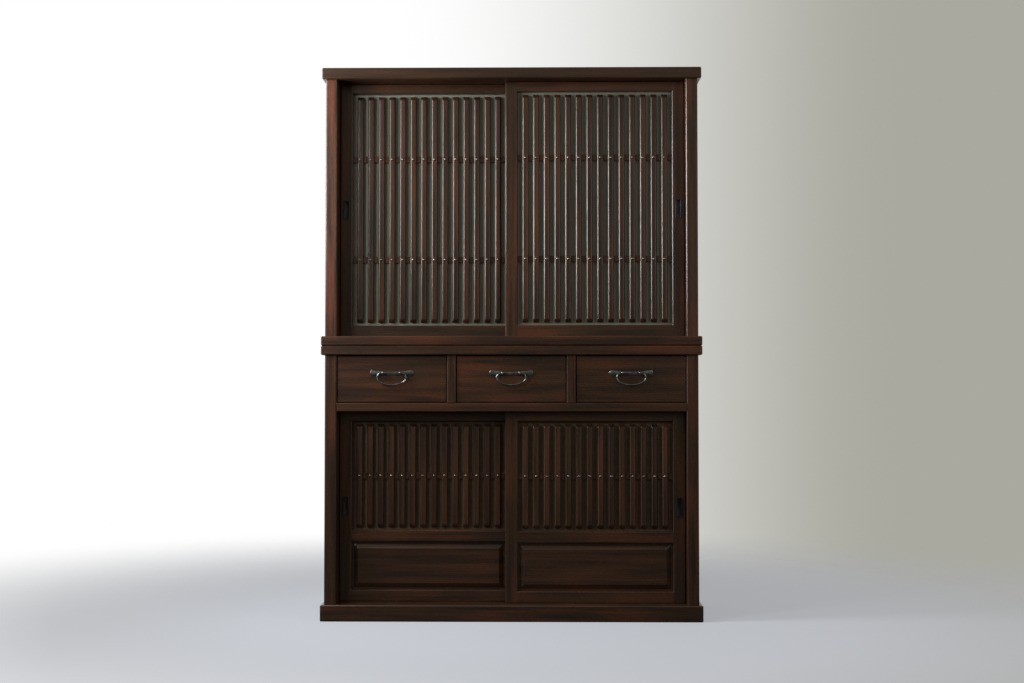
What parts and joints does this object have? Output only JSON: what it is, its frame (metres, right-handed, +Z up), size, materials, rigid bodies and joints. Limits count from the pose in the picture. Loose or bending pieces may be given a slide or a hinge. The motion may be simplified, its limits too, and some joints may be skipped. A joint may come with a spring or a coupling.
{
  "type": "mizuya kitchen cabinet",
  "caption": "Two-stage dark stained mizuya kitchen cabinet with lattice sliding doors above and below a row of drawers with hanging iron bail handles.",
  "frame": {"origin": "on the floor under the middle of the plinth, which is the bottom centre of the whole box", "axes": "+Z up, +X to the viewer's right, front of the cabinet towards -Y"},
  "size_m": [1.21, 0.45, 1.76],
  "materials": {
    "stained_wood": "dark reddish brown stain under satin lacquer, open grain",
    "inner_wood": "clear satin on planed softwood",
    "drawer_wood": "unstained planed paulownia",
    "back_board": "thinly stained plywood",
    "backing_board": "dark stained board, matt",
    "frosted_glass": "finely frosted sheet glass",
    "black_iron": "blackened wrought iron, satin"
  },
  "bodies": {
    "cabinet": {"drawer_deck": "inner_wood", "drawer_dividers": "stained_wood", "drawer_guides": "inner_wood", "drawer_partitions": "inner_wood", "drawer_rail": "stained_wood", "lower_back_panel": "back_board", "lower_back_posts": "stained_wood", "lower_door_jambs": "stained_wood", "lower_floor_board": "stained_wood", "lower_front_posts": "stained_wood", "lower_shelf": "inner_wood", "lower_side_panels": "stained_wood", "lower_side_rails": "stained_wood", "lower_top_board": "stained_wood", "plinth": "stained_wood", "shelf_battens": "inner_wood", "upper_back_panels": "back_board", "upper_back_posts": "stained_wood", "upper_back_rail": "stained_wood", "upper_bottom_board": "stained_wood", "upper_door_jambs": "stained_wood", "upper_front_posts": "stained_wood", "upper_shelves": "inner_wood", "upper_side_panels": "stained_wood", "upper_side_rails": "stained_wood", "upper_top_board": "stained_wood"},
    "upper_left_door": {"upper_left_door_crossbars": "stained_wood", "upper_left_door_finger_pull": "black_iron", "upper_left_door_frame": "stained_wood", "upper_left_door_pane": "frosted_glass", "upper_left_door_slats": "stained_wood"},
    "upper_right_door": {"upper_right_door_crossbars": "stained_wood", "upper_right_door_finger_pull": "black_iron", "upper_right_door_frame": "stained_wood", "upper_right_door_pane": "frosted_glass", "upper_right_door_slats": "stained_wood"},
    "lower_left_door": {"lower_left_door_crossbars": "stained_wood", "lower_left_door_finger_pull": "black_iron", "lower_left_door_frame": "stained_wood", "lower_left_door_pane": "backing_board", "lower_left_door_raised_panel": "stained_wood", "lower_left_door_slats": "stained_wood"},
    "lower_right_door": {"lower_right_door_crossbars": "stained_wood", "lower_right_door_finger_pull": "black_iron", "lower_right_door_frame": "stained_wood", "lower_right_door_pane": "backing_board", "lower_right_door_raised_panel": "stained_wood", "lower_right_door_slats": "stained_wood"},
    "drawer_left": {"drawer_left_box": "drawer_wood", "drawer_left_front": "stained_wood", "drawer_left_handle_plate": "black_iron"},
    "drawer_left_bail": {"drawer_left_bail": "black_iron"},
    "drawer_middle": {"drawer_middle_box": "drawer_wood", "drawer_middle_front": "stained_wood", "drawer_middle_handle_plate": "black_iron"},
    "drawer_middle_bail": {"drawer_middle_bail": "black_iron"},
    "drawer_right": {"drawer_right_box": "drawer_wood", "drawer_right_front": "stained_wood", "drawer_right_handle_plate": "black_iron"},
    "drawer_right_bail": {"drawer_right_bail": "black_iron"}
  },
  "joints": [
    {"name": "upper_left_door_slide", "type": "slide", "parent": "cabinet", "child": "upper_left_door", "axis": [1, 0, 0], "range_m": [0, 0.5355]},
    {"name": "upper_right_door_slide", "type": "slide", "parent": "cabinet", "child": "upper_right_door", "axis": [1, 0, 0], "range_m": [-0.5355, 0]},
    {"name": "lower_left_door_slide", "type": "slide", "parent": "cabinet", "child": "lower_left_door", "axis": [1, 0, 0], "range_m": [0, 0.5355]},
    {"name": "lower_right_door_slide", "type": "slide", "parent": "cabinet", "child": "lower_right_door", "axis": [1, 0, 0], "range_m": [-0.5355, 0]},
    {"name": "drawer_left_slide", "type": "slide", "parent": "cabinet", "child": "drawer_left", "axis": [0, -1, 0], "range_m": [0, 0.3]},
    {"name": "drawer_left_bail_swing", "type": "hinge", "parent": "drawer_left", "child": "drawer_left_bail", "pos_m": [-0.3805, -0.218, 0.785], "axis": [-1, 0, 0], "range_deg": [-10, 190]},
    {"name": "drawer_middle_slide", "type": "slide", "parent": "cabinet", "child": "drawer_middle", "axis": [0, -1, 0], "range_m": [0, 0.3]},
    {"name": "drawer_middle_bail_swing", "type": "hinge", "parent": "drawer_middle", "child": "drawer_middle_bail", "pos_m": [0, -0.218, 0.785], "axis": [-1, 0, 0], "range_deg": [-10, 190]},
    {"name": "drawer_right_slide", "type": "slide", "parent": "cabinet", "child": "drawer_right", "axis": [0, -1, 0], "range_m": [0, 0.3]},
    {"name": "drawer_right_bail_swing", "type": "hinge", "parent": "drawer_right", "child": "drawer_right_bail", "pos_m": [0.3805, -0.218, 0.785], "axis": [-1, 0, 0], "range_deg": [-10, 190]}
  ]
}
